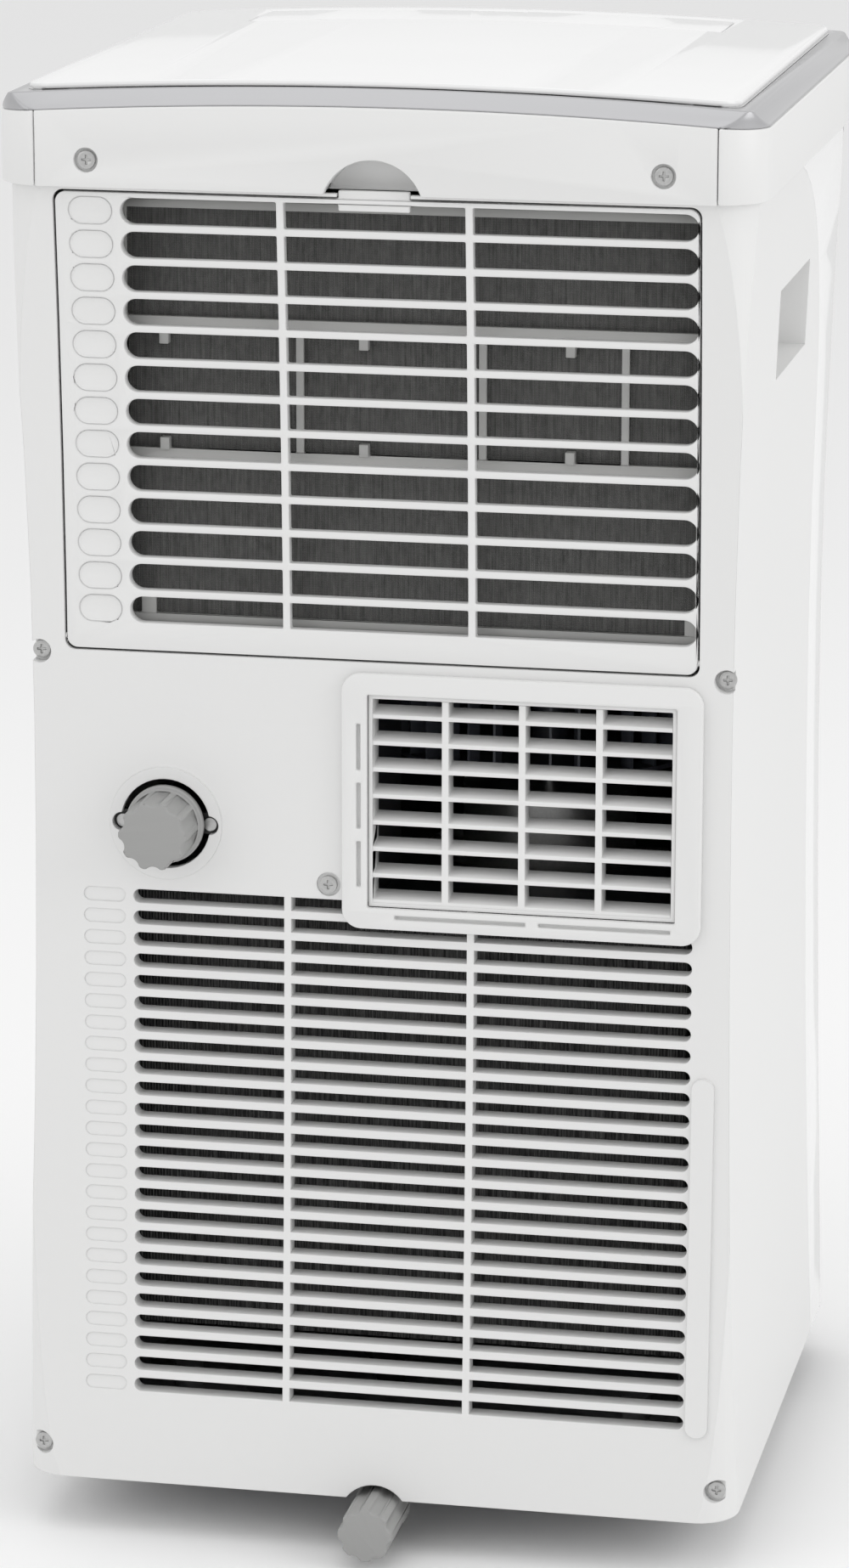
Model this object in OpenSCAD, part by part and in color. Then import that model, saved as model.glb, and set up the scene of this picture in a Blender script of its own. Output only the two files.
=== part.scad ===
// Portable air conditioner, free standing on four castors.
// +Z up, front (cool air side) at -Y, rear (warm air side) at +Y, floor at Z = 0.

/* [Body] */
// Overall width, across the top band
body_w = 355; // [330:1:400]
// Overall depth, across the top band
body_d = 345; // [330:1:400]
// Overall height, floor to crown of the top cover
body_h = 703; // [690:1:780]
// Gap under the casing
floor_gap = 28; // [26:1:34]
// Wall of the casing shells
wall = 3; // [2:0.5:4]
// Width of the handle recesses, front to rear
handle_w = 104; // [80:1:120]
// Height of the handle recesses
handle_h = 42; // [36:1:50]
// Middle of the handle recesses below the crown
handle_drop = 127; // [110:1:160]
// Corner radius of the casing in plan
corner_r = 20; // [16:1:26]
// Narrowing of each side at the waist
side_waist = 8; // [2:0.5:12]
// Narrowing of the rear at the waist
rear_waist = 12; // [4:0.5:16]
// Height of the waist above the floor
waist_z = 395; // [360:1:420]

/* [Top] */
// Height of the band below the silver rim
band_h = 33; // [28:1:40]
// How far the band stands out from the casing
band_proud = 4.5; // [2:0.5:6]
// Height of the chamfered silver rim
rim_h = 8; // [5:0.5:10]
// Rise of the top's arch from side to middle
arch_h = 6; // [3:0.5:9]
// Half distance between the band's two seams
seam_x = 156.5; // [150:0.5:160]
// Width of the cool air outlet in the top
outlet_w = 236; // [200:1:250]
// Front to rear opening of the cool air outlet
outlet_l = 48; // [40:1:60]
// Distance from the front of the body to the outlet
outlet_inset = 30; // [26:1:40]

/* [Filter grille] */
// Width of the filter grille
grille_w = 298; // [290:1:304]
// Height of the filter grille
grille_h = 216; // [210:1:220]
// Number of slot rows in the filter grille
grille_rows = 13; // [8:1:13]
// Height step between its rows
grille_pitch = 15.6; // [14:0.1:16]
// Height of each of its slots
grille_slot = 12.3; // [9:0.1:13]

/* [Lower louvres] */
// Number of slot rows in the lower intake
louvre_rows = 24; // [12:1:24]
// Height step between the rows
louvre_pitch = 10.45; // [9:0.05:10.6]
// Height of each slot
louvre_slot = 6.6; // [5:0.1:7.5]
// Height of the top row's middle above the floor
louvre_top_z = 317; // [314:1:319]
// Depth of the louvre bars
bar_depth = 9; // [6:1:12]
// Width of the ribs between slots
rib_w = 3.4; // [3:0.1:5]
// Middle of each rib, from the body's middle
rib_x = 43.6; // [40:0.1:50]

/* [Warm air outlet] */
// Left edge of the outlet frame as seen from the front
exhaust_x0 = -152; // [-154:1:-146]
// Width of the outlet frame
exhaust_w = 169; // [160:1:172]
// Bottom of the outlet frame above the floor
exhaust_z0 = 308; // [304:1:312]
// Height of the outlet frame
exhaust_h = 122; // [116:1:124]
// Number of blades in the outlet grille
blade_rows = 8; // [5:1:8]

/* [Drains] */
// Upper drain position from the body's middle
drain_x = 102; // [95:1:108]
// Upper drain height above the floor
drain_z = 353; // [348:1:358]
// Radius of the opening around the upper drain
drain_hole_r = 21.5; // [20:0.5:23]
// Radius of the upper drain cap
knob_r = 18.6; // [15:0.1:19]
// Radius of the lower drain cap
cap_r = 13.3; // [11:0.1:14]
// Height of the lower drain above the floor
cap_z = 18; // [17:0.5:20]
// How far the lower drain cap stands out behind the body
cap_out = 18; // [14:1:24]
// Half width of the notch over the lower drain
notch_r = 16.9; // [16:0.1:18]

/* [Castors] */
// Radius of the castor wheels
wheel_r = 18; // [15:0.5:19]
// Width of the castor wheels
wheel_w = 14; // [10:0.5:16]
// Distance of the castors from the middle, sideways
castor_x = 112; // [100:1:120]
// Distance of the castors from the middle, front to rear
castor_y = 80; // [74:1:84]

/* [Fits] */
// Gap between pieces that move past each other
gap = 0.5; // [0.4:0.05:0.7]
// Radial clearance of shafts in their holes
fit = 0.05; // [0.03:0.01:0.1]
// Shank radius of the casing screws
screw_r = 2; // [1.5:0.1:2.5]

/* [Hidden] */
$fn = 48;
eps = 0.01;
big = 1200;
half_w = body_w / 2;
half_d = body_d / 2;
band_top = body_h - arch_h - rim_h - 3;
band_z = band_top - band_h;
case_w = half_w - band_proud;
case_d = half_d - band_proud;
seam_y = -half_d + 62;
handle_z = body_h - handle_drop;
seam_bend_z = body_h - 183;
seam_sweep = 150;
well_r = 28;
well_top = floor_gap + 16;
outline_steps = 10;
arch_steps = 12;
grille_top = band_z - 2;
grille_z = grille_top - grille_h;
grille_row_z = grille_top - 9;
grille_t = 6;
tab_w = 33;
pin_r = 1.2;
lip_proud = 1.2;
lip_w = 5.5;
pin_y = rear_at(grille_z) - 1.7;
pin_z = grille_z + 5.8;
slot_x0 = -148;
slot_x1 = 118;
pill_x1 = 142;
coil_y = 128;
deck_z = grille_z - 10;
outlet_y0 = -half_d + outlet_inset;
outlet_y1 = outlet_y0 + outlet_l;
vane_z = band_z - 2;
vane_arm = 11;
vane_xs = [-80, -40, 0, 40, 80];
warm_x = -57;
warm_y = 22;
cool_y = 5;
trunk_y = cool_y - 47;
suction_x = 124;
suction_y = -55;
cool_z = deck_z + 104;
button_xs = [-48, -24, 0, 24, 48];
button_z = body_h - 113;
gland_y = 118;
gland_z = 62;
castor_spots = [[-1, -1], [1, -1], [-1, 1], [1, 1]];
trail = 9;
flap_pivot_y = outlet_y1 - 9;
flap_pivot_z = body_h - 8;

// How far a face stands out from its waist at height z, as a share of its full flare
function flare(z) = z > waist_z
    ? pow((z - waist_z) / (band_z - waist_z), 2)
    : pow((waist_z - z) / (waist_z - floor_gap), 2);
function side_at(z) = case_w - side_waist * (1 - flare(z));
function rear_at(z) = case_d - rear_waist * (1 - flare(z));
function front_at(z) = -case_d + side_waist * (1 - flare(z));
function seam_at(z) = seam_y + (z > seam_bend_z
    ? seam_sweep * (1 - sqrt(max(0, 1 - pow((z - seam_bend_z) / (band_z - seam_bend_z), 2))))
    : 0);
heights = [for (i = [0 : outline_steps]) floor_gap + (band_z - floor_gap) * i / outline_steps];

// Rounded rectangle in plan
module plan(w, d, r) {
    translate([-w + r, -d]) square([2 * (w - r), 2 * d]);
    translate([-w, -d + r]) square([2 * w, 2 * (d - r)]);
    for (sx = [-1, 1])
        for (sy = [-1, 1])
            translate([sx * (w - r), sy * (d - r)]) circle(r);
}

// Solid inside the casing, with every face moved in by inset
module body_solid(inset) {
    front_view = concat(
        [for (z = heights) [side_at(z) - inset, z]],
        [for (i = [outline_steps : -1 : 0]) [-side_at(heights[i]) + inset, heights[i]]]);
    side_view = concat(
        [for (z = heights) [rear_at(z) - inset, z]],
        [for (i = [outline_steps : -1 : 0]) [front_at(heights[i]) + inset, heights[i]]]);
    intersection() {
        linear_extrude(band_z) plan(case_w - inset, case_d - inset, corner_r - inset);
        rotate([90, 0, 0]) linear_extrude(big, center = true) polygon(front_view);
        rotate([90, 0, 90]) linear_extrude(big, center = true) polygon(side_view);
    }
}

// Space in front of the seam between the two casings, moved back by shift
module front_region(shift) {
    bend = [for (i = [0 : 12]) seam_bend_z + (band_z - seam_bend_z) * sin(i * 7.5)];
    rotate([90, 0, 90]) linear_extrude(big, center = true)
        polygon(concat([[-big, 0], [seam_y + shift, 0]],
                       [for (z = bend) [seam_at(z) + shift, z]],
                       [[seam_at(band_z) + shift, big], [-big, big]]));
}

// Box given by its two corners
module block(a, b) {
    translate(a) cube([b[0] - a[0], b[1] - a[1], b[2] - a[2]]);
}

// Cylinder along Y from y0 to y1
module rod_y(x, z, r, y0, y1) {
    translate([x, y0, z]) rotate([-90, 0, 0]) cylinder(r = r, h = y1 - y0);
}

// Cylinder along X from x0 to x1
module rod_x(y, z, r, x0, x1) {
    translate([x0, y, z]) rotate([0, 90, 0]) cylinder(r = r, h = x1 - x0);
}

// Cylinder along Z from z0 to z1
module rod_z(x, y, r, z0, z1) {
    translate([x, y, z0]) cylinder(r = r, h = z1 - z0);
}

// Slot with optional round ends, cut along Y
module slot(x0, x1, z, h, left, right) {
    a = left ? x0 + h / 2 : x0;
    b = right ? x1 - h / 2 : x1;
    block([a, 60, z - h / 2], [b, 260, z + h / 2]);
    if (left) rod_y(a, z, h / 2, 60, 260);
    if (right) rod_y(b, z, h / 2, 60, 260);
}

// One row of three slots between the two ribs
module slot_row(z, h) {
    slot(slot_x0, -rib_x - rib_w / 2, z, h, true, false);
    slot(-rib_x + rib_w / 2, rib_x - rib_w / 2, z, h, false, false);
    slot(rib_x + rib_w / 2, slot_x1, z, h, false, true);
}

// Block with four edges along Y rounded
module rounded_block(x0, x1, z0, z1, y0, y1, r) {
    translate([(x0 + x1) / 2, y1, (z0 + z1) / 2]) rotate([90, 0, 0])
        linear_extrude(y1 - y0) plan((x1 - x0) / 2, (z1 - z0) / 2, r);
}

// Everything under the top's arch, whose crown is at height z
module arch_limit(z) {
    rotate([90, 0, 0]) linear_extrude(big, center = true)
        polygon(concat([[half_w + 10, 0], [-half_w - 10, 0]],
                       [for (i = [-arch_steps : arch_steps])
                           [(half_w + 10) * i / arch_steps,
                            z - arch_h * pow((half_w + 10) * i / arch_steps / half_w, 2)]]));
}

recess_r = 5.6;
recess_depth = 6;
screw_spots = [[-162, 433], [162, 433], [-164, 43.5], [164, 43.5], [24, 327.6]];
band_screw_x = 132.5;
band_screw_z = band_z + 12.5;

// ---- Casing ----

module rear_casing() {
    color("whitesmoke")
    difference() {
        union() {
            intersection() {
                difference() {
                    body_solid(0);
                    translate([0, 0, -1]) body_solid(wall);
                    body_solid(wall);
                }
                difference() {
                    block([-big, -big, floor_gap], [big, big, big]);
                    front_region(0);
                }
            }
            // Cups around the corner screws
            for (p = screw_spots) if (abs(p[0]) > 100)
                intersection() {
                    body_solid(0.5);
                    rod_y(p[0], p[1], recess_r + 2, rear_at(p[1]) - recess_depth - 3, 300);
                }
            // Raised cable channel
            intersection() {
                body_solid(-1.4);
                rounded_block(-159.6, -148.8, 70, 244, 140, 300, 5);
            }
            // Raised lip around the upper drain
            intersection() {
                body_solid(-lip_proud);
                rod_y(drain_x, drain_z, drain_hole_r + lip_w, rear_at(drain_z) - wall / 2, 300);
            }
            // Thick field of the lower louvres
            intersection() {
                difference() {
                    body_solid(wall - eps);
                    body_solid(bar_depth);
                }
                block([slot_x0 - 3, 100, louvre_top_z - louvre_pitch * (louvre_rows - 0.2)],
                      [slot_x1 + 3, big, louvre_top_z + louvre_slot]);
            }
            // Floor flange that the base pan screws to
            intersection() {
                body_solid(wall - eps);
                difference() {
                    block([-big, seam_y + 20, floor_gap], [big, big, floor_gap + wall]);
                    block([-150, -big, 0], [150, 142, 100]);
                }
            }
        }
        // Filter grille opening
        rounded_block(-grille_w / 2 - gap, grille_w / 2 + gap, grille_z - gap, grille_top + gap, 100, 300, 5);
        block([-tab_w / 2 - gap, 100, grille_top - 1], [tab_w / 2 + gap, 300, band_z + 5]);
        for (s = [-1, 1])
            rod_x(pin_y, pin_z, pin_r + fit, s * (grille_w / 2 + 1.5) - 2, s * (grille_w / 2 + 1.5) + 2);
        // Lower intake
        for (i = [0 : louvre_rows - 1]) slot_row(louvre_top_z - louvre_pitch * i, louvre_slot);
        // Warm air outlet
        block([exhaust_x0 + 12, 100, exhaust_z0 + 10], [exhaust_x0 + exhaust_w - 12, 300, exhaust_z0 + exhaust_h - 10]);
        // Upper drain opening with its two ears
        rod_y(drain_x, drain_z, drain_hole_r, 100, 300);
        for (s = [-1, 1]) rod_y(drain_x + s * (drain_hole_r - 0.5), drain_z, 4.5, 100, 300);
        // Lower drain notch
        rod_y(0, cap_z, notch_r, 100, 300);
        // Screw recesses and holes
        for (p = screw_spots) {
            depth = abs(p[0]) > 100 ? recess_depth : 1;
            rod_y(p[0], p[1], screw_r + fit, 100, 300);
            rod_y(p[0], p[1], recess_r, rear_at(p[1]) - depth, 300);
        }
        // Shallow pills that carry the slot pattern on
        intersection() {
            difference() {
                body_solid(-2);
                body_solid(0.5);
            }
            for (i = [0 : louvre_rows - 1])
                slot(slot_x1 + 4, pill_x1, louvre_top_z - louvre_pitch * i, louvre_slot, true, true);
        }
        // Handle recesses in both sides
        for (s = [-1, 1])
            translate([s * 180, 0, handle_z]) cube([60, handle_w, handle_h], center = true);
        // Cord gland hole
        rod_x(gland_y, gland_z, 8, 100, 300);
    }
    // Handle cups
    color("whitesmoke")
    for (s = [-1, 1])
        difference() {
            intersection() {
                translate([s * 168, 0, handle_z])
                    cube([50, handle_w + 2 * wall, handle_h + 2 * wall], center = true);
                body_solid(1);
            }
            translate([s * 180, 0, handle_z]) cube([66, handle_w, handle_h], center = true);
        }
}

module front_panel() {
    color("white")
    difference() {
        union() {
            intersection() {
                difference() {
                    body_solid(0);
                    translate([0, 0, -1]) body_solid(wall);
                    body_solid(wall);
                }
                front_region(-gap);
                block([-big, -big, floor_gap], [big, big, big]);
            }
            // Lip that slides inside the rear casing
            intersection() {
                difference() {
                    body_solid(wall + gap / 2);
                    body_solid(2 * wall);
                }
                front_region(8);
                block([-big, seam_y - 12, floor_gap + wall + 1], [big, big, band_z - 4]);
            }
            intersection() {
                difference() {
                    body_solid(wall - eps);
                    body_solid(2 * wall);
                }
                front_region(-4);
                block([-big, seam_y - 12, floor_gap + wall + 1], [big, big, band_z - 4]);
            }
        }
        block([-75, -200, button_z - 16], [75, -140, button_z + 36]);
    }
}

module base_pan() {
    color("gainsboro")
    difference() {
        union() {
            difference() {
                union() {
                    block([-150 + gap, -163, floor_gap], [150 - gap, 142 - gap, 62]);
                    // Lip that rests on the casing's flange
                    block([-156, seam_y + 24, floor_gap + wall], [156, 148, floor_gap + wall + 3]);
                }
                block([-147, -160, floor_gap + wall + 2], [147, 139, 100]);
            }
            // Domes over the castor wells, with the stem sockets
            for (s = castor_spots) {
                rod_z(s[0] * castor_x, s[1] * castor_y, well_r + 2, floor_gap, well_top + 2);
                rod_z(s[0] * castor_x, s[1] * castor_y, 7, floor_gap, well_top + 14);
            }
        }
        for (s = castor_spots) {
            rod_z(s[0] * castor_x, s[1] * castor_y, well_r, 0, well_top);
            rod_z(s[0] * castor_x, s[1] * castor_y, 4 + fit, 0, well_top + 11);
        }
        rod_z(0, 112, 6 + fit, 0, 60);
        rod_y(0, cap_z, notch_r, 130, 200);
    }
}

// Ring of the top's outline between two insets
module top_ring(outer, inner, z0, z1) {
    difference() {
        translate([0, 0, z0]) linear_extrude(z1 - z0) plan(half_w - outer, half_d - outer, corner_r + band_proud);
        translate([0, 0, z0 - 1]) linear_extrude(z1 - z0 + 2) plan(half_w - inner, half_d - inner, corner_r - 2);
    }
}

// Round notch over the filter grille's tab
module finger_notch(grow) {
    translate([0, 0, band_z]) rod_y(0, -8, 24 + grow, 100, 300);
}

// The band's rear piece, or the rest of it
module band_part(rear) {
    difference() {
        intersection() {
            top_ring(0, band_proud + wall, band_z, band_top + arch_h + 1);
            arch_limit(band_top + arch_h);
            if (rear)
                block([-seam_x, 100, 0], [seam_x, 300, big]);
            else
                difference() {
                    block([-big, -big, 0], [big, big, big]);
                    block([-seam_x - 0.4, 100, 0], [seam_x + 0.4, 300, big]);
                }
        }
        finger_notch(0);
        for (s = [-1, 1]) {
            rod_y(s * band_screw_x, band_screw_z, screw_r + fit, 100, 300);
            rod_y(s * band_screw_x, band_screw_z, recess_r, half_d - 3.5, 300);
        }
    }
}

module top_frame() {
    color("whitesmoke") {
        difference() {
            band_part(false);
            block([-outlet_w / 2 - 3, -half_d + 12, 0], [outlet_w / 2 + 3, 0, big]);
        }
        // Inner ledge ring that carries the cover and clamps both casings
        difference() {
            translate([0, 0, band_z]) linear_extrude(3) plan(case_w - 2, case_d - 2 - wall, corner_r - 4);
            translate([0, 0, band_z - 1]) linear_extrude(6) plan(case_w - 18, case_d - 20, corner_r - 10);
            finger_notch(1);
        }
    }
}

module rear_band() {
    color("whitesmoke") {
        band_part(true);
        // Pocket wall behind the finger notch
        intersection() {
            difference() {
                finger_notch(2);
                finger_notch(0);
                block([-100, 0, 0], [100, 156, big]);
            }
            block([-60, 156, band_z + 3.5], [60, case_d - wall + 1, band_top]);
        }
        intersection() {
            finger_notch(2);
            block([-60, 154.5, band_z + 3.5], [60, 156.5, band_top]);
        }
        intersection() {
            finger_notch(0.6);
            block([-60, 154.5, band_z + gap], [60, 156.5, band_z + 4]);
        }
    }
}

// Outline of the rim seen along X or Y: upright at the foot, then leaning in
function rim_view(w) = [[-w, band_z], [w, band_z], [w, band_top + 1], [w - 13, body_h], [13 - w, body_h], [-w, band_top + 1]];

module top_rim() {
    color("silver")
    difference() {
        intersection() {
            translate([0, 0, band_z]) linear_extrude(60) plan(half_w - 0.6, half_d - 0.6, corner_r + 4);
            rotate([90, 0, 0]) linear_extrude(big, center = true) polygon(rim_view(half_w - 0.6));
            rotate([90, 0, 90]) linear_extrude(big, center = true) polygon(rim_view(half_d - 0.6));
            arch_limit(band_top + arch_h + rim_h);
        }
        arch_limit(band_top + arch_h);
        translate([0, 0, band_z]) linear_extrude(big) plan(half_w - 13, half_d - 13, corner_r - 8);
    }
}

// Space of the outlet flap, grown on three sides
module outlet_cut(grow) {
    block([-outlet_w / 2 - grow, outlet_y0 - grow, band_z], [outlet_w / 2 + grow, flap_pivot_y, big]);
}

module top_cover() {
    color("white")
    difference() {
        intersection() {
            translate([0, 0, band_top]) linear_extrude(body_h) plan(half_w - 13.2, half_d - 13.2, corner_r - 8.2);
            arch_limit(body_h);
        }
        arch_limit(body_h - 3);
        outlet_cut(gap);
        rod_x(flap_pivot_y, flap_pivot_z, 9.2, -outlet_w / 2 - gap, outlet_w / 2 + gap);
    }
    color("white")
    difference() {
        // Skirt that stands on the frame's ledge
        translate([0, 0, band_z + 3]) linear_extrude(body_h - arch_h - band_z - 4)
            difference() {
                plan(half_w - 14, half_d - 14, corner_r - 9);
                plan(half_w - 16.5, half_d - 16.5, corner_r - 11);
            }
        translate([0, 170, band_z]) cube([60, 60, 50], center = true);
    }
}

module louvre_flap() {
    color("white") {
        intersection() {
            difference() {
                union() {
                    outlet_cut(0);
                    rod_x(flap_pivot_y, flap_pivot_z, 8.2, -outlet_w / 2, outlet_w / 2);
                }
                arch_limit(body_h - 3);
                // Small pull recess at the front edge
                translate([0, outlet_y0, body_h]) cube([27, 6, 20], center = true);
            }
            arch_limit(body_h);
        }
        // Two hinge arms with their pins
        for (s = [-1, 1]) {
            block([s * 100 - 2, flap_pivot_y - 3, flap_pivot_z - 2.5], [s * 100 + 2, flap_pivot_y + 2.5, body_h - 4.6]);
            rod_x(flap_pivot_y, flap_pivot_z, 1.5, s * 106 - 6, s * 106 + 6);
        }
    }
}

module outlet_duct() {
    ear_r = 2.6;
    color("dimgray")
    difference() {
        union() {
            difference() {
                block([-outlet_w / 2 + 1, outlet_y0 + 1, cool_z + 40], [outlet_w / 2 - 1, outlet_y1 - 1, body_h - 16]);
                block([-outlet_w / 2 + 3, outlet_y0 + 3, 0], [outlet_w / 2 - 3, outlet_y1 - 3, big]);
            }
            // Ears that hold the flap's pins
            for (s = [-1, 1]) {
                rod_x(flap_pivot_y, flap_pivot_z, ear_r, s * 108 - 2, s * 108 + 2);
                block([s * 108 - 2, flap_pivot_y - ear_r, body_h - 22], [s * 108 + 2, flap_pivot_y + ear_r, flap_pivot_z]);
                block([s * 112 - 6, flap_pivot_y - ear_r, body_h - 22], [s * 112 + 4, flap_pivot_y + ear_r, body_h - 18]);
            }
        }
        for (x = vane_xs) rod_y(x, vane_z, 1.5 + fit, -200, 0);
        rod_x(flap_pivot_y, flap_pivot_z, 1.5 + fit, -113, 113);
    }
}

module vane(i) {
    x = vane_xs[i];
    color("white") {
        difference() {
            block([x - 0.8, outlet_y0 + 5, vane_z - 14], [x + 0.8, outlet_y1 - 5, vane_z + 14]);
            block([x - 2, outlet_y0 + 21, vane_z - 20], [x + 2, outlet_y0 + 27, vane_z - 4]);
        }
        rod_y(x, vane_z, 1.5, outlet_y0 + 1, outlet_y1 - 1);
        rod_y(x, vane_z - vane_arm, 1.2, outlet_y0 + 20, outlet_y0 + 28);
    }
}

module vane_link() {
    color("lightgray")
    difference() {
        block([-92, outlet_y0 + 23, vane_z - vane_arm - 2.5], [92, outlet_y0 + 25, vane_z - vane_arm + 5]);
        for (x = vane_xs)
            block([x - 1.4, -200, vane_z - vane_arm - 1.5], [x + 1.4, 0, vane_z - vane_arm + 3.2]);
    }
}

// ---- Filter ----

module filter_grille() {
    color("whitesmoke")
    difference() {
        union() {
            difference() {
                intersection() {
                    difference() {
                        body_solid(0);
                        body_solid(grille_t);
                    }
                    rounded_block(-grille_w / 2 + gap, grille_w / 2 - gap, grille_z + gap, grille_top - gap, 100, 300, 5);
                }
                for (i = [0 : grille_rows - 1]) slot_row(grille_row_z - grille_pitch * i, grille_slot);
            }
            // Pull tab under the finger notch
            block([-tab_w / 2, rear_at(band_z) - 4, grille_top - 6], [tab_w / 2, rear_at(band_z) - 1, band_z + 1.4]);
            // Pins at the foot, which the grille tips about
            for (s = [-1, 1])
                rod_x(pin_y, pin_z, pin_r, s * grille_w / 2 - 2.5, s * grille_w / 2 + 2.5);
        }
        intersection() {
            difference() {
                body_solid(-2);
                body_solid(0.5);
            }
            for (i = [0 : grille_rows - 1])
                slot(slot_x1 + 4, pill_x1, grille_row_z - grille_pitch * i, grille_slot, true, true);
        }
    }
}

module filter_frame() {
    bar_top = grille_row_z - grille_pitch * 3.5;
    bar_low = grille_row_z - grille_pitch * 7.45;
    foot = grille_z + 12;
    head = grille_top - 6;
    color("gainsboro") {
        difference() {
            block([-148, 142, foot], [126, 145, head]);
            block([-146.6, 100, foot + 4], [121, 200, head - 4]);
        }
        for (z = [bar_top, bar_low]) block([-147, 142.2, z - 3.5], [122, 144.8, z + 3.5]);
        for (x = [39.5, -46, -112]) block([x - 1.8, 142.4, bar_low], [x + 1.8, 144.6, bar_top]);
        for (x = [103, 9, -87]) {
            block([x - 2.2, 142.4, bar_top - 9], [x + 2.2, 147.5, bar_top - 3]);
            block([x - 2.2, 142.4, bar_low + 3], [x + 2.2, 147.5, bar_low + 9]);
        }
        // Feet and gussets at the lower corners
        for (x = [112, -144]) block([x - 3.5, 142.2, foot], [x + 3.5, 144.8, foot + 14]);
        for (x = [124, -147]) block([x - 1, 144, foot], [x + 1, rear_at(waist_z) - grille_t - 0.2, foot + 60]);
    }
}

module filter_mesh() {
    color("dimgray") block([-148, 139.5, grille_z + 12], [126, 142, grille_top - 6]);
}

// ---- Warm air outlet ----

module exhaust_bezel() {
    y0 = rear_at(exhaust_z0 + exhaust_h / 2);
    color("white")
    difference() {
        rounded_block(exhaust_x0, exhaust_x0 + exhaust_w, exhaust_z0, exhaust_z0 + exhaust_h, y0 - 1, y0 + 4.5, 9);
        block([exhaust_x0 + 12, 100, exhaust_z0 + 10], [exhaust_x0 + exhaust_w - 12, 300, exhaust_z0 + exhaust_h - 10]);
        // Slots that take the hose adaptor's hooks
        for (z = [exhaust_z0 + 20, exhaust_z0 + 48, exhaust_z0 + 76])
            block([exhaust_x0 + exhaust_w - 9, y0 + 1, z], [exhaust_x0 + exhaust_w - 7, 300, z + 22]);
        for (x = [exhaust_x0 + 14, exhaust_x0 + 82])
            block([x, y0 + 1, exhaust_z0 + 5], [x + 62, 300, exhaust_z0 + 7]);
        intersection() {
            body_solid(0);
            block([-200, 100, exhaust_z0 - 5], [200, 300, exhaust_z0 + exhaust_h + 5]);
        }
    }
}

module exhaust_grille() {
    x0 = exhaust_x0 + 12.3;
    x1 = exhaust_x0 + exhaust_w - 12.3;
    z0 = exhaust_z0 + 10.3;
    z1 = exhaust_z0 + exhaust_h - 10.3;
    y1 = rear_at(exhaust_z0 + exhaust_h / 2) + 1.5;
    step = (z1 - z0) / blade_rows;
    color("whitesmoke") {
        difference() {
            block([x0, y1 - 14, z0], [x1, y1, z1]);
            block([x0 + 2, 0, z0 + 2], [x1 - 2, 300, z1 - 2]);
        }
        for (i = [1 : 3]) {
            x = x0 + (x1 - x0) * i / 4;
            block([x - 1.6, y1 - 13, z0 + 1], [x + 1.6, y1 - 0.5, z1 - 1]);
        }
        for (i = [0 : blade_rows - 1])
            translate([x0 + 1, y1 - 12, z0 + step * i + 1.2]) rotate([90, 0, 90])
                linear_extrude(x1 - x0 - 2) polygon([[0, 2.5], [11.5, 0], [11.5, 2.1], [0, 4.6]]);
    }
}

module warm_scroll() {
    x0 = exhaust_x0 + 11;
    x1 = exhaust_x0 + exhaust_w - 11;
    y1 = rear_at(exhaust_z0 + exhaust_h / 2) - 13;
    z0 = exhaust_z0 + 8;
    z1 = exhaust_z0 + exhaust_h - 5.5;
    color("darkgray")
    difference() {
        union() {
            block([x0, warm_y, z0], [x1, y1, z1]);
            rod_z(warm_x, warm_y, 90, z0, z1);
        }
        block([x0 + 2, warm_y, z0 + 2], [x1 - 2, 300, z1 - 2]);
        rod_z(warm_x, warm_y, 88, z0 + 2, z1 - 2);
        rod_z(warm_x, warm_y, 60, 0, z0 + 5);
    }
}

// Drum of blades with a back plate and hub, along Z
module blade_drum(r, h, count, bore) {
    difference() {
        union() {
            cylinder(r = r, h = 2);
            cylinder(r = bore + 5, h = 20);
            translate([0, 0, h - 2]) difference() {
                cylinder(r = r, h = 2);
                translate([0, 0, -1]) cylinder(r = r - 10, h = 4);
            }
            for (i = [0 : count - 1])
                rotate(i * 360 / count) translate([r - 10, -0.6, 1]) cube([9.5, 1.2, h - 2]);
        }
        translate([0, 0, -1]) cylinder(r = bore, h = h + 2);
    }
}

module warm_wheel() {
    color("dimgray") translate([warm_x, warm_y, exhaust_z0 + exhaust_h - 61]) blade_drum(78, 50, 36, 4 + fit);
}

module warm_motor() {
    z0 = exhaust_z0 + exhaust_h - 61;
    color("gray") {
        rod_z(warm_x, warm_y, 42, z0 - 72, z0 - 20);
        rod_z(warm_x, warm_y, 4, z0 - 21, z0 + 18);
        // Bracket arms out to the scroll's underside
        difference() {
            block([warm_x - 76, warm_y - 8, exhaust_z0 + 4], [warm_x + 76, warm_y + 8, exhaust_z0 + 8]);
            rod_z(warm_x, warm_y, 40, 0, big);
        }
    }
}

// ---- Drains ----

module upper_spout() {
    face = rear_at(drain_z) - wall;
    color("gray")
    difference() {
        union() {
            block([drain_x - 32, face - 3.2, drain_z - 5], [drain_x + 32, face, drain_z + 5]);
            rod_y(drain_x, drain_z, 11, 116, face + 15);
        }
        rod_y(drain_x, drain_z, 8, 100, 200);
        for (s = [-1, 1]) rod_y(drain_x + s * (drain_hole_r - 0.5), drain_z, 1.5 + fit, 100, 200);
    }
}

module spout_screws() {
    face = rear_at(drain_z) - wall;
    color("silver")
    for (s = [-1, 1]) {
        rod_y(drain_x + s * (drain_hole_r - 0.5), drain_z, 1.5, face - 10, face);
        rod_y(drain_x + s * (drain_hole_r - 0.5), drain_z, 3.2, face, face + 2);
    }
}

module drain_plug() {
    color("black") rod_y(drain_x, drain_z, 8 - fit, 150, rear_at(drain_z) + 8);
}

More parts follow.
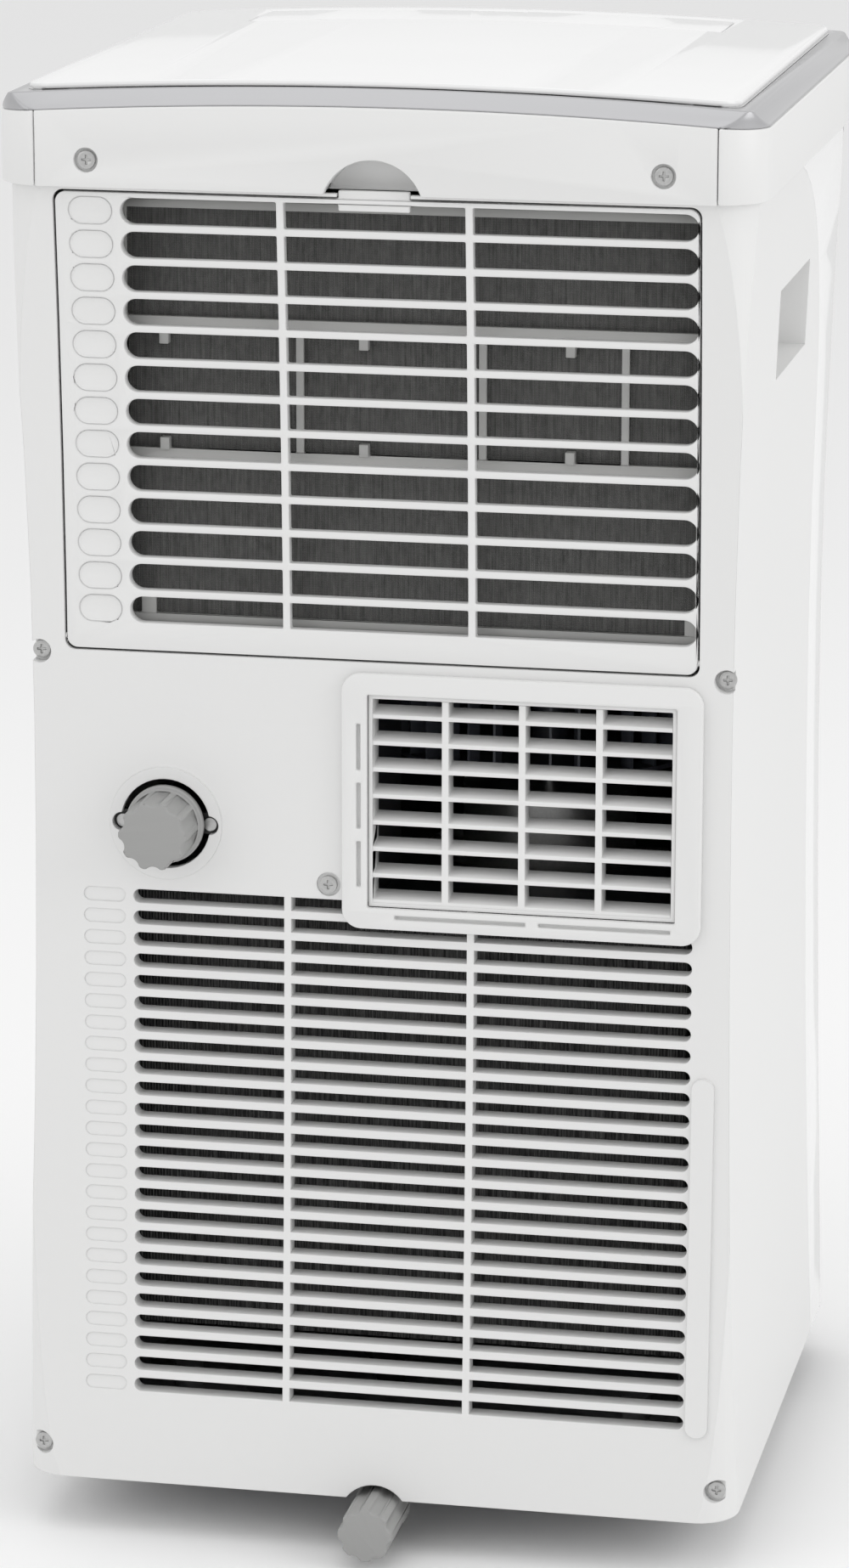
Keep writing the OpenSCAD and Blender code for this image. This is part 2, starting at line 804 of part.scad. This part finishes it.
// Cap with finger flutes, open towards -Y
module fluted_cap(x, z, r, bore, y0, y1, flutes) {
    difference() {
        rod_y(x, z, r, y0, y1);
        rod_y(x, z, bore, y0 - 1, y1 - 4);
        for (i = [0 : flutes - 1])
            translate([x, y0 + 5, z]) rotate([0, (i + 0.5) * 360 / flutes, 0]) translate([r + r * 0.16, 0, 0])
                rotate([-90, 0, 0]) cylinder(r = r * 0.28, h = y1);
    }
}

module upper_cap() {
    y0 = rear_at(drain_z) - 0.4;
    color("darkgray") {
        difference() {
            rod_y(drain_x, drain_z, knob_r, y0, y0 + 4.5);
            rod_y(drain_x, drain_z, 11 + fit, 100, 300);
        }
        fluted_cap(drain_x, drain_z, knob_r - 2, 11 + fit, y0, y0 + 27, 10);
    }
}

module lower_spout() {
    color("gray")
    difference() {
        union() {
            rod_y(0, cap_z, 8 - fit, 105, half_d - 6);
            rod_y(0, cap_z, 9.5, 142, 145);
            rod_z(0, 112, 8, cap_z, floor_gap);
            rod_z(0, 112, 6, cap_z, floor_gap + 8);
        }
        rod_y(0, cap_z, 5, 110, 200);
        rod_z(0, 112, 4, cap_z, 60);
    }
}

module lower_cap() {
    color("darkgray") fluted_cap(0, cap_z, cap_r, 8, 147, half_d + cap_out, 8);
}

// Pan head screw with a cross recess, its head seated at y
module pan_screw(x, y, z) {
    rod_y(x, z, screw_r, y - 10, y);
    difference() {
        rod_y(x, z, 4.2, y, y + 2.2);
        for (a = [0, 90])
            translate([x, y + 2, z]) rotate([0, a, 0]) cube([4.4, 2, 1], center = true);
    }
}

module casing_screws() {
    color("silver") {
        for (p = screw_spots)
            pan_screw(p[0], rear_at(p[1]) - (abs(p[0]) > 100 ? recess_depth : 1), p[1]);
        for (s = [-1, 1]) pan_screw(s * band_screw_x, half_d - 3.5, band_screw_z);
    }
}

// ---- Cooling parts ----

module deck() {
    wide = side_at(deck_z) - wall - 0.2;
    color("lightgray")
    difference() {
        union() {
            block([-wide, seam_y + 9, deck_z], [wide, 136, deck_z + 8]);
            block([3.5 - wide, -140, deck_z], [wide - 3.5, seam_y + 10, deck_z + 8]);
        }
        block([-147, -137, deck_z + 2], [147, 133, deck_z + 20]);
        rod_z(suction_x, suction_y, 6, 0, big);
    }
}

// Finned block between two end plates, with its tube bends
module coil(x0, x1, y0, y1, z0, z1, foot) {
    color("silver") {
        block([x0, y0, z0], [x1, y1, z1]);
        for (x = [x0 - 1.5, x1]) block([x, y0 - 1, foot], [x + 1.5, y1 + 1, z1 + 2]);
    }
    color("peru")
    for (i = [0 : floor((z1 - z0) / 25) - 1])
        for (x = [x0 - 4, x1 + 1])
            rod_x((y0 + y1) / 2, z0 + 12 + 25 * i, 4, x, x + 3);
}

module evaporator_coil() {
    coil(-138, 138, 112, 132, deck_z + 3, band_z - 20, deck_z + 2);
}

module condenser_coil() {
    coil(-140, 140, coil_y - 18, coil_y, 96, exhaust_z0 + 4, floor_gap + wall + 2);
}

module compressor() {
    color("#303030") translate([58, -40, 52])
        rotate_extrude() polygon([[0, 0], [40, 0], [58, 8], [60, 14], [60, 136], [56, 148], [40, 158], [0, 162]]);
    // Suction accumulator strapped beside the shell
    color("#303030") rod_z(suction_x, suction_y, 15, 96, 190);
    color("#303030") translate([58, -40, 48]) for (a = [0, 120, 240]) rotate(a) block([20, -12, 0], [80, 12, 4.5]);
}

module compressor_feet() {
    color("black") translate([58, -40, floor_gap + wall + 2])
        for (a = [0, 120, 240]) rotate(a) rod_z(72, 0, 7, 0, 48 - floor_gap - wall - 2);
}

// Pipe that rises from the compressor, turns over and enters a coil
module riser(x, y, r, z0, z1, bend, reach, turn) {
    rod_z(x, y, r, z0, z1);
    translate([x, y, z1]) rotate([0, 0, turn]) {
        translate([bend, 0, 0]) rotate([90, 0, 0]) rotate_extrude(angle = 90, start = 90)
            translate([bend, 0]) circle(r);
        translate([bend, 0, bend]) rotate([0, 90, 0]) cylinder(r = r, h = reach);
    }
}

module discharge_pipe() {
    color("peru") riser(80, -20, 4, 211.5, 250, 20, coil_y - 18, 90);
}

module suction_pipe() {
    color("peru") riser(suction_x, suction_y, 5, 190, deck_z + 45, 18, 112 - suction_y - 18, 90);
}

module cool_scroll() {
    color("lightgray")
    difference() {
        union() {
            rod_x(cool_y, cool_z, 84, -102, 62);
            block([-102, outlet_y0 - 1, cool_z], [52, cool_y, cool_z + 40]);
            block([-outlet_w / 2 + 1, outlet_y0 - 1, cool_z], [outlet_w / 2 - 1, trunk_y, cool_z + 40]);
            block([-102, -60, deck_z + 8], [62, 60, cool_z - 60]);
        }
        rod_x(cool_y, cool_z, 82, -100, 60);
        block([-100, outlet_y0 + 1, cool_z + 2], [50, cool_y, cool_z + 38]);
        block([-outlet_w / 2 + 3, outlet_y0 + 1, cool_z + 2], [outlet_w / 2 - 3, trunk_y - 2, cool_z + 38]);
        block([-outlet_w / 2 + 3, outlet_y0 + 3, cool_z + 30], [outlet_w / 2 - 3, outlet_y1 - 3, cool_z + 60]);
        rod_x(cool_y, cool_z, 55, -120, 80);
        block([-100, -58, deck_z + 10], [60, 58, cool_z - 62]);
    }
}

module cool_wheel() {
    color("dimgray") translate([-88, cool_y, cool_z]) rotate([0, 90, 0]) blade_drum(70, 136, 32, 4 + fit);
}

module cool_motor() {
    color("gray") {
        rod_x(cool_y, cool_z, 4, -90, 56);
        rod_x(cool_y, cool_z, 38, 54, 96);
        difference() {
            block([96, cool_y - 40, deck_z + 8], [100, cool_y + 40, cool_z + 34]);
            block([90, cool_y - 30, deck_z + 16], [110, cool_y + 30, cool_z - 44]);
        }
    }
}

module electronics_box() {
    color("lightgray")
    difference() {
        block([-140, -145, 130], [-60, -110, 290]);
        block([-138, -143, 132], [-62, -105, 288]);
    }
    color("lightgray") block([-140, -145, floor_gap + wall + 2], [-136, -110, 131]);
}

module circuit_board() {
    color("darkgreen") {
        block([-136, -140, 140], [-64, -138, 280]);
        for (z = [150, 190, 230]) block([-128, -138, z], [-104, -124, z + 24]);
    }
    color("lightgray") for (z = [150, 270]) for (x = [-130, -70]) rod_y(x, z, 2, -143, -140);
}

module capacitor() {
    color("silver") rod_z(-80, -122, 14, 296, 352);
    color("silver") block([-96, -138, 290], [-64, -110, 296]);
}

// ---- Controls ----

module control_panel() {
    y0 = front_at(button_z);
    color("#202020")
    difference() {
        block([-75 + gap, y0, button_z - 16 + gap], [75 - gap, y0 + 6, button_z + 36 - gap]);
        for (x = button_xs) rod_y(x, button_z, 7 + gap, -200, 0);
        block([-26, -200, button_z + 12], [26, y0 + 2, button_z + 30]);
    }
}

module display_lens() {
    y0 = front_at(button_z);
    color("black") block([-26 + 0.1, y0 - 0.3, button_z + 12 + 0.1], [26 - 0.1, y0 + 2, button_z + 30 - 0.1]);
}

module button(i) {
    y0 = front_at(button_z);
    color("white") {
        rod_y(button_xs[i], button_z, 7, y0 - 1.5, y0 + 5);
        rod_y(button_xs[i], button_z, 9, y0 + 7.2, y0 + 8.5);
        rod_y(button_xs[i], button_z, 5, y0 + 4, y0 + 8);
    }
}

// ---- Castors ----

// Fork with its stem and axle pin; the wheel trails towards the front
module castor_fork(i) {
    top = well_top - gap;
    cheek = wheel_w / 2 + gap;
    color("dimgray")
    translate([castor_spots[i][0] * castor_x, castor_spots[i][1] * castor_y, 0]) {
        rod_z(0, 0, 4, top - 2, well_top + 10);
        rod_z(0, 0, 9, top - 3, top);
        block([-cheek - 2, -trail - 6, top - 3], [cheek + 2, 9, top]);
        for (s = [-1, 1])
            intersection() {
                block([s * (cheek + 1) - 1, -trail - 8, wheel_r - 6], [s * (cheek + 1) + 1, 9, top]);
                rod_x(-trail / 2, wheel_r + 8, 20, -20, 20);
            }
        rod_x(-trail, wheel_r, 2.5, -cheek - 2, cheek + 2);
    }
}

module castor_wheel(i) {
    color("black")
    translate([castor_spots[i][0] * castor_x, castor_spots[i][1] * castor_y, 0])
        difference() {
            rod_x(-trail, wheel_r, wheel_r, -wheel_w / 2, wheel_w / 2);
            rod_x(-trail, wheel_r, 2.5 + fit, -20, 20);
            for (s = [-1, 1])
                difference() {
                    rod_x(-trail, wheel_r, wheel_r - 3, s * wheel_w / 2 - 1.5, s * wheel_w / 2 + 1.5);
                    rod_x(-trail, wheel_r, 6, -20, 20);
                }
        }
}

module cord_gland() {
    face = side_at(gland_z);
    color("gray")
    difference() {
        union() {
            rod_x(gland_y, gland_z, 8 - fit, face - wall - 8, face + 1);
            rod_x(gland_y, gland_z, 11, face - wall - 4.6, face - wall - 0.6);
            rod_x(gland_y, gland_z, 6.5, face, face + 3);
        }
        rod_x(gland_y, gland_z, 4, 100, 300);
    }
}

// The origin is the middle of the bounding box, which the lower drain cap widens to the rear
module placed() {
    translate([0, -cap_out / 2, 0]) children();
}

placed() base_pan();
placed() rear_casing();
placed() front_panel();
placed() top_frame();
placed() rear_band();
placed() top_rim();
placed() top_cover();
placed() louvre_flap();
placed() vane(0);  // vane_1
placed() vane(1);  // vane_2
placed() vane(2);  // vane_3
placed() vane(3);  // vane_4
placed() vane(4);  // vane_5
placed() vane_link();
placed() outlet_duct();
placed() filter_grille();
placed() filter_frame();
placed() filter_mesh();
placed() exhaust_bezel();
placed() exhaust_grille();
placed() upper_spout();
placed() upper_cap();
placed() spout_screws();
placed() drain_plug();
placed() lower_spout();
placed() lower_cap();
placed() casing_screws();
placed() deck();
placed() evaporator_coil();
placed() condenser_coil();
placed() compressor();
placed() compressor_feet();
placed() discharge_pipe();
placed() suction_pipe();
placed() warm_scroll();
placed() warm_wheel();
placed() warm_motor();
placed() cool_scroll();
placed() cool_wheel();
placed() cool_motor();
placed() electronics_box();
placed() circuit_board();
placed() capacitor();
placed() control_panel();
placed() display_lens();
placed() button(0);  // button_1
placed() button(1);  // button_2
placed() button(2);  // button_3
placed() button(3);  // button_4
placed() button(4);  // button_5
placed() castor_fork(0);  // castor_fork_1
placed() castor_fork(1);  // castor_fork_2
placed() castor_fork(2);  // castor_fork_3
placed() castor_fork(3);  // castor_fork_4
placed() castor_wheel(0);  // castor_wheel_1
placed() castor_wheel(1);  // castor_wheel_2
placed() castor_wheel(2);  // castor_wheel_3
placed() castor_wheel(3);  // castor_wheel_4
placed() cord_gland();
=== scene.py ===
import math

import bpy
from mathutils import Matrix, Vector


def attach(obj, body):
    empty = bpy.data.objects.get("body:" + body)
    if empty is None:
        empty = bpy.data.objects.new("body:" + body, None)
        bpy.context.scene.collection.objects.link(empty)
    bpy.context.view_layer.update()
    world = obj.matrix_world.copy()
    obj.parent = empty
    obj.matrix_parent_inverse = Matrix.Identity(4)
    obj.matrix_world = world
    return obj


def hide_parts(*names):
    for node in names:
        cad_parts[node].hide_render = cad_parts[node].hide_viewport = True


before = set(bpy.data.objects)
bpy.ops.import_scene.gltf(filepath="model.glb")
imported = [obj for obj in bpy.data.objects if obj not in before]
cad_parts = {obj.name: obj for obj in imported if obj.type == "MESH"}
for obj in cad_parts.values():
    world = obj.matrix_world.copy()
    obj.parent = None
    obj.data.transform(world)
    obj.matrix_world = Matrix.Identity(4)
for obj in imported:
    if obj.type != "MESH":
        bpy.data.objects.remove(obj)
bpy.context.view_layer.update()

# ---------------------------------------------------------------- camera
# Seen from behind, from above and a little from the side of the warm air outlet.
camera_place = Vector((-0.509, 2.580, 0.999))
camera_turn = math.radians(11.33)
camera_dip = math.radians(14.05)
camera_roll = math.radians(0.1)
camera_lens = 126.8
look = Vector((math.sin(camera_turn) * math.cos(camera_dip),
               -math.cos(camera_turn) * math.cos(camera_dip), -math.sin(camera_dip)))
level = look.cross(Vector((0, 0, 1))).normalized()
upright = level.cross(look)
right = level * math.cos(camera_roll) + upright * math.sin(camera_roll)
up = upright * math.cos(camera_roll) - level * math.sin(camera_roll)
camera = bpy.data.objects.new("camera", bpy.data.cameras.new("camera"))
bpy.context.collection.objects.link(camera)
camera.matrix_world = Matrix(((right.x, up.x, -look.x, camera_place.x),
                              (right.y, up.y, -look.y, camera_place.y),
                              (right.z, up.z, -look.z, camera_place.z),
                              (0, 0, 0, 1)))
camera.data.lens = camera_lens
camera.data.sensor_width = 36
camera.data.clip_end = 60
bpy.context.scene.camera = camera


# ---------------------------------------------------------------- floor and light
# A plain pale floor, three large soft boxes and an even pale surround.
class Wire:
    """A shader socket that adds Math nodes when it is used in an expression."""

    def __init__(self, tree, socket):
        self.tree, self.socket = tree, socket

    def math(self, operation, *values):
        node = self.tree.nodes.new("ShaderNodeMath")
        node.operation = operation
        for slot, value in zip(node.inputs, values):
            if isinstance(value, Wire):
                self.tree.links.new(value.socket, slot)
            else:
                slot.default_value = value
        return Wire(self.tree, node.outputs[0])

    def __add__(self, other): return self.math("ADD", self, other)
    def __radd__(self, other): return self.math("ADD", other, self)
    def __sub__(self, other): return self.math("SUBTRACT", self, other)
    def __mul__(self, other): return self.math("MULTIPLY", self, other)
    def __rmul__(self, other): return self.math("MULTIPLY", other, self)
    def sine(self): return self.math("SINE", self)


class Finish:
    """One material under construction: its tree, its Principled shader and its Object coordinates."""

    def __init__(self, name, **constants):
        self.material = bpy.data.materials.new(name)
        self.material.use_nodes = True
        self.tree = self.material.node_tree
        self.shader = self.tree.nodes["Principled BSDF"]
        for label, value in constants.items():
            self.shader.inputs[label.replace("_", " ")].default_value = value
        self.place = self.node("ShaderNodeTexCoord", out="Object")

    def node(self, kind, settings=None, out=0, **inputs):
        node = self.tree.nodes.new(kind)
        for label, value in (settings or {}).items():
            setattr(node, label, value)
        for label, value in inputs.items():
            self.feed(node.inputs[label.replace("_", " ")], value)
        return Wire(self.tree, node.outputs[out])

    def feed(self, slot, value):
        if isinstance(value, Wire):
            self.tree.links.new(value.socket, slot)
        else:
            slot.default_value = value

    def stretched(self, x, y, z):
        return self.node("ShaderNodeMapping", Vector=self.place, Scale=(x, y, z))

    def noise(self, vector, scale, detail=3.0):
        return self.node("ShaderNodeTexNoise", Vector=vector, Scale=scale, Detail=detail)

    def axis(self, which):
        return self.node("ShaderNodeSeparateXYZ", out=which, Vector=self.place)

    def mixed(self, factor, first, second):
        node = self.tree.nodes.new("ShaderNodeMix")
        node.data_type = "RGBA"
        self.feed(node.inputs[0], factor)
        for slot, value in ((node.inputs[6], first), (node.inputs[7], second)):
            self.feed(slot, value if isinstance(value, Wire) else (*value, 1))
        return Wire(self.tree, node.outputs[2])

    def give(self, label, value):
        self.feed(self.shader.inputs[label], value)

    def bump(self, height, distance, strength=1.0):
        self.give("Normal", self.node("ShaderNodeBump", Height=height, Distance=distance, Strength=strength))


bpy.ops.object.select_all(action="DESELECT")
bpy.ops.mesh.primitive_plane_add(size=40, location=(0, 0, 0))
floor = bpy.context.active_object
floor.name = "floor"
floor_finish = Finish("floor_paper", Roughness=0.9, Specular_IOR_Level=0.1)
floor_finish.give("Base Color", floor_finish.mixed(
    floor_finish.noise(floor_finish.place, 0.6), (0.90, 0.90, 0.90), (0.92, 0.92, 0.92)))
floor.data.materials.append(floor_finish.material)


def soft_box(name, place, aim, size, power):
    """A square soft light at place, turned to aim."""
    lamp = bpy.data.lights.new(name, "AREA")
    lamp.shape = "SQUARE"
    lamp.size = size
    lamp.energy = power
    stand = bpy.data.objects.new(name, lamp)
    bpy.context.collection.objects.link(stand)
    stand.location = place
    stand.rotation_euler = (Vector(aim) - Vector(place)).to_track_quat("-Z", "Y").to_euler()


soft_box("box_above", (0.2, 0.6, 3.0), (0, 0, 0.4), 2.4, 15)
soft_box("box_rear_left", (2.2, 2.4, 1.7), (0, 0, 0.35), 2.0, 9)
soft_box("box_side", (-2.6, 0.6, 1.5), (0, 0, 0.4), 1.8, 17)
world = bpy.data.worlds.new("surround")
world.use_nodes = True
world.node_tree.nodes["Background"].inputs["Color"].default_value = (1, 1, 1, 1)
world.node_tree.nodes["Background"].inputs["Strength"].default_value = 0.84
bpy.context.scene.world = world
bpy.context.scene.view_settings.view_transform = "Standard"


# ---------------------------------------------------------------- casing shells
# Rear casing, frame band and front panel: injection moulded ABS, off-white, with a satin
# moulding grain on the grey-white pieces. Mould edges are rounded by 0.6 to 0.9 mm.
def softened(node, width, segments=2, sharp=38):
    """A copy of a CAD piece with flat triangles joined and its edges rounded."""
    bpy.ops.object.select_all(action="DESELECT")
    piece = bpy.data.objects.new(node + "_piece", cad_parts[node].data.copy())
    bpy.context.collection.objects.link(piece)
    bpy.context.view_layer.objects.active = piece
    piece.select_set(True)
    bpy.ops.object.mode_set(mode="EDIT")
    bpy.ops.mesh.select_all(action="SELECT")
    bpy.ops.mesh.remove_doubles(threshold=0.000002)
    bpy.ops.mesh.dissolve_limited(angle_limit=math.radians(0.05))
    bpy.ops.object.mode_set(mode="OBJECT")
    edge = piece.modifiers.new("edge", "BEVEL")
    edge.width = width
    edge.segments = segments
    edge.limit_method = "ANGLE"
    edge.angle_limit = math.radians(sharp)
    edge.use_clamp_overlap = False
    bpy.ops.object.modifier_apply(modifier="edge")
    bpy.ops.object.shade_smooth_by_angle(angle=math.radians(32))
    return piece


def dressed(piece, finish, body, slot, *nodes):
    """Gives a finished piece its material and body and hides the CAD pieces it replaces; the slot argument
    is not used.
    """
    piece.data.materials.clear()
    piece.data.materials.append(finish.material)
    for face in piece.data.polygons:
        face.material_index = 0
    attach(piece, body)
    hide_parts(*nodes)


def coated(finish, *nodes):
    """Gives CAD pieces that stay as they are a material."""
    for node in nodes:
        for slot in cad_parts[node].material_slots:
            slot.material = finish.material


def moulded(name, colour, roughness, grain, coat=0.0, rounding=0.0):
    """Moulded plastic: a slow drift of tone, a fine grain and, where given, softened edges."""
    finish = Finish(name, IOR=1.5, Coat_Weight=coat, Coat_Roughness=0.12)
    drift = finish.noise(finish.place, 6.0, 2.0)
    pores = finish.noise(finish.place, 2600.0, 2.0)
    finish.give("Base Color", finish.mixed(drift, tuple(c * 0.975 for c in colour), colour))
    finish.give("Roughness", roughness + 0.06 * (drift - 0.5) + 0.05 * (pores - 0.5))
    finish.bump(pores, grain)
    if rounding:
        soft_edge = finish.node("ShaderNodeBevel", {"samples": 6}, Radius=rounding)
        finish.feed(finish.shader.inputs["Normal"].links[0].from_node.inputs["Normal"], soft_edge)
    return finish


casing_grey = (0.76, 0.76, 0.755)
casing_plastic = moulded("casing_plastic", casing_grey, 0.38, 0.00002)
white_plastic = moulded("white_plastic", (0.84, 0.84, 0.84), 0.22, 0.000008, coat=0.3)
shell_plastic = moulded("shell_plastic", casing_grey, 0.38, 0.00002, rounding=0.0007)
coated(shell_plastic, "rear_casing")
dressed(softened("top_frame", 0.0009), casing_plastic, "casing", "casing_plastic", "top_frame")
dressed(softened("rear_band", 0.0006), casing_plastic, "casing", "casing_plastic", "rear_band")
dressed(softened("front_panel", 0.0006), white_plastic, "casing", "gloss_white", "front_panel")

# ---------------------------------------------------------------- top cover, rim and flap
# Gloss white cover with a silver lacquered rim clipped round it; the outlet flap lies flush.
rim_lacquer = moulded("silver_lacquer", (0.42, 0.42, 0.43), 0.3, 0.00001, coat=0.4)
rim_lacquer.shader.inputs["Metallic"].default_value = 0.45
dressed(softened("top_rim", 0.0008, sharp=30), rim_lacquer, "casing", "silver_rim", "top_rim")
dressed(softened("top_cover", 0.0012), white_plastic, "casing", "gloss_white", "top_cover")
dressed(softened("louvre_flap", 0.0006), white_plastic, "flap", "gloss_white", "louvre_flap")

# ---------------------------------------------------------------- outlet duct and vanes
# Pale grey duct with five white vanes joined by one bar.
duct_plastic = moulded("duct_plastic", (0.30, 0.30, 0.31), 0.5, 0.00003)
vane_plastic = moulded("vane_plastic", (0.70, 0.70, 0.70), 0.4, 0.00002)
coated(duct_plastic, "outlet_duct", "cool_scroll", "deck", "base_pan", "electronics_box")
coated(vane_plastic, "vane_1", "vane_2", "vane_3", "vane_4", "vane_5", "vane_link")

# ---------------------------------------------------------------- filter grille
# Removable grille in the rear opening, with its net and its frame behind it.
net = Finish("filter_net", Roughness=0.75, Specular_IOR_Level=0.3)
weft_pitch = 0.0011
warp_pitch = 0.0009
threads = net.noise(net.stretched(1500.0, 1.0, 34.0), 1.0, 4.0)
tufts = net.noise(net.stretched(420.0, 1.0, 160.0), 1.0, 2.0)
weft = (net.axis("Z") * (2 * math.pi / weft_pitch)).sine() * 0.5 + 0.5
warp = (net.axis("X") * (2 * math.pi / warp_pitch)).sine() * 0.5 + 0.5
light_share = (threads * 1.5 - 0.45) * 0.7 + (tufts - 0.5) * 0.5 + weft * 0.08 + warp * 0.10
net.give("Base Color", net.mixed(light_share, (0.055, 0.055, 0.053), (0.21, 0.21, 0.205)))
net.bump(weft * warp, 0.0002)
frame_plastic = moulded("frame_plastic", (0.50, 0.50, 0.49), 0.45, 0.00002)
dressed(softened("filter_grille", 0.0007), casing_plastic, "filter", "casing_plastic", "filter_grille")
dressed(softened("filter_frame", 0.0004), frame_plastic, "filter", "filter_frame", "filter_frame")
coated(net, "filter_mesh")

# ---------------------------------------------------------------- warm air outlet
# Raised frame with hook slots, and its grille of slanted blades; the blower shows behind.
dressed(softened("exhaust_bezel", 0.0009), casing_plastic, "casing", "casing_plastic", "exhaust_bezel")
dressed(softened("exhaust_grille", 0.0004), casing_plastic, "casing", "casing_plastic", "exhaust_grille")
scroll_plastic = moulded("scroll_plastic", (0.02, 0.021, 0.024), 0.5, 0.00003)
wheel_plastic = moulded("wheel_plastic", (0.07, 0.075, 0.09), 0.4, 0.00003)
coated(scroll_plastic, "warm_scroll")
coated(wheel_plastic, "warm_wheel", "cool_wheel")

# ---------------------------------------------------------------- coils
# Copper tubes through a pack of thin pressed aluminium fins.
fin_pitch = 0.0015
fins = Finish("coil_fins", Metallic=0.5, Roughness=0.5)
pack = fins.noise(fins.stretched(1300.0, 1.0, 26.0), 1.0, 3.0)
dust = fins.noise(fins.stretched(40.0, 40.0, 90.0), 1.0, 3.0)
fins.give("Base Color", fins.mixed((pack - 0.36) * 2.2 + (dust - 0.5) * 0.5,
                                   (0.03, 0.03, 0.03), (0.22, 0.22, 0.215)))
fins.bump((fins.axis("X") * (2 * math.pi / fin_pitch)).sine(), 0.0003)
coated(fins, "condenser_coil", "evaporator_coil")
copper = Finish("copper_tube", Metallic=1.0)
tarnish = copper.noise(copper.place, 60.0)
copper.give("Base Color", copper.mixed(tarnish, (0.55, 0.26, 0.15), (0.72, 0.38, 0.24)))
copper.give("Roughness", 0.25 + tarnish * 0.2)
coated(copper, "discharge_pipe", "suction_pipe")

# ---------------------------------------------------------------- compressor, motors and electronics
# Black enamelled shell on rubber feet, pressed steel motors, a green board in a plastic box.
enamel = moulded("black_enamel", (0.02, 0.02, 0.02), 0.35, 0.00004, coat=0.3)
rubber = moulded("black_rubber", (0.025, 0.025, 0.025), 0.75, 0.00005)
steel = Finish("plated_steel", Metallic=0.9)
brushing = steel.noise(steel.stretched(900.0, 60.0, 900.0), 1.0)
steel.give("Base Color", steel.mixed(brushing, (0.42, 0.42, 0.42), (0.58, 0.58, 0.57)))
steel.give("Roughness", 0.25 + brushing * 0.2)
steel.bump(brushing, 0.00002)
board = moulded("board_laminate", (0.03, 0.14, 0.06), 0.4, 0.00003)
coated(enamel, "compressor")
coated(rubber, "compressor_feet", "drain_plug")
coated(steel, "warm_motor", "cool_motor", "capacitor")
coated(board, "circuit_board")

# ---------------------------------------------------------------- drains
# Black spouts with grey screw caps; the caps have finger flutes and are closed at rest.
spout_plastic = moulded("spout_plastic", (0.02, 0.02, 0.02), 0.35, 0.00002)
cap_plastic = moulded("cap_plastic", (0.33, 0.33, 0.325), 0.45, 0.00003)
coated(spout_plastic, "upper_spout", "lower_spout", "cord_gland")
dressed(softened("upper_cap", 0.0011, 3, 25), cap_plastic, "upper_drain_cap", "cap_plastic", "upper_cap")
dressed(softened("lower_cap", 0.0010, 3, 25), cap_plastic, "lower_drain_cap", "cap_plastic", "lower_cap")

# ---------------------------------------------------------------- screws
# Zinc plated cross recess screws with domed heads.
dressed(softened("casing_screws", 0.0003), steel, "casing", "screw_steel", "casing_screws")
dressed(softened("spout_screws", 0.0003), steel, "casing", "screw_steel", "spout_screws")

# ---------------------------------------------------------------- controls
# Black panel with a polished display window and five soft white buttons.
panel_black = moulded("panel_black", (0.02, 0.02, 0.022), 0.15, 0.000005, coat=0.5)
button_white = moulded("button_white", (0.72, 0.72, 0.72), 0.35, 0.00002)
dressed(softened("control_panel", 0.0004), panel_black, "casing", "panel_black", "control_panel")
coated(panel_black, "display_lens")
for number in range(1, 6):
    dressed(softened(f"button_{number}", 0.0005), button_white, f"button_{number}", "button_plastic",
            f"button_{number}")

# ---------------------------------------------------------------- castors
# Grey nylon forks that swivel in their sockets, with hard black wheels.
fork_nylon = moulded("fork_nylon", (0.13, 0.13, 0.13), 0.45, 0.00003)
tyre = moulded("castor_tyre", (0.03, 0.03, 0.03), 0.6, 0.00004)
for number in range(1, 5):
    dressed(softened(f"castor_fork_{number}", 0.0003), fork_nylon, f"castor_{number}", "castor_grey",
            f"castor_fork_{number}")
    dressed(softened(f"castor_wheel_{number}", 0.0006), tyre, f"wheel_{number}", "castor_tyre",
            f"castor_wheel_{number}")
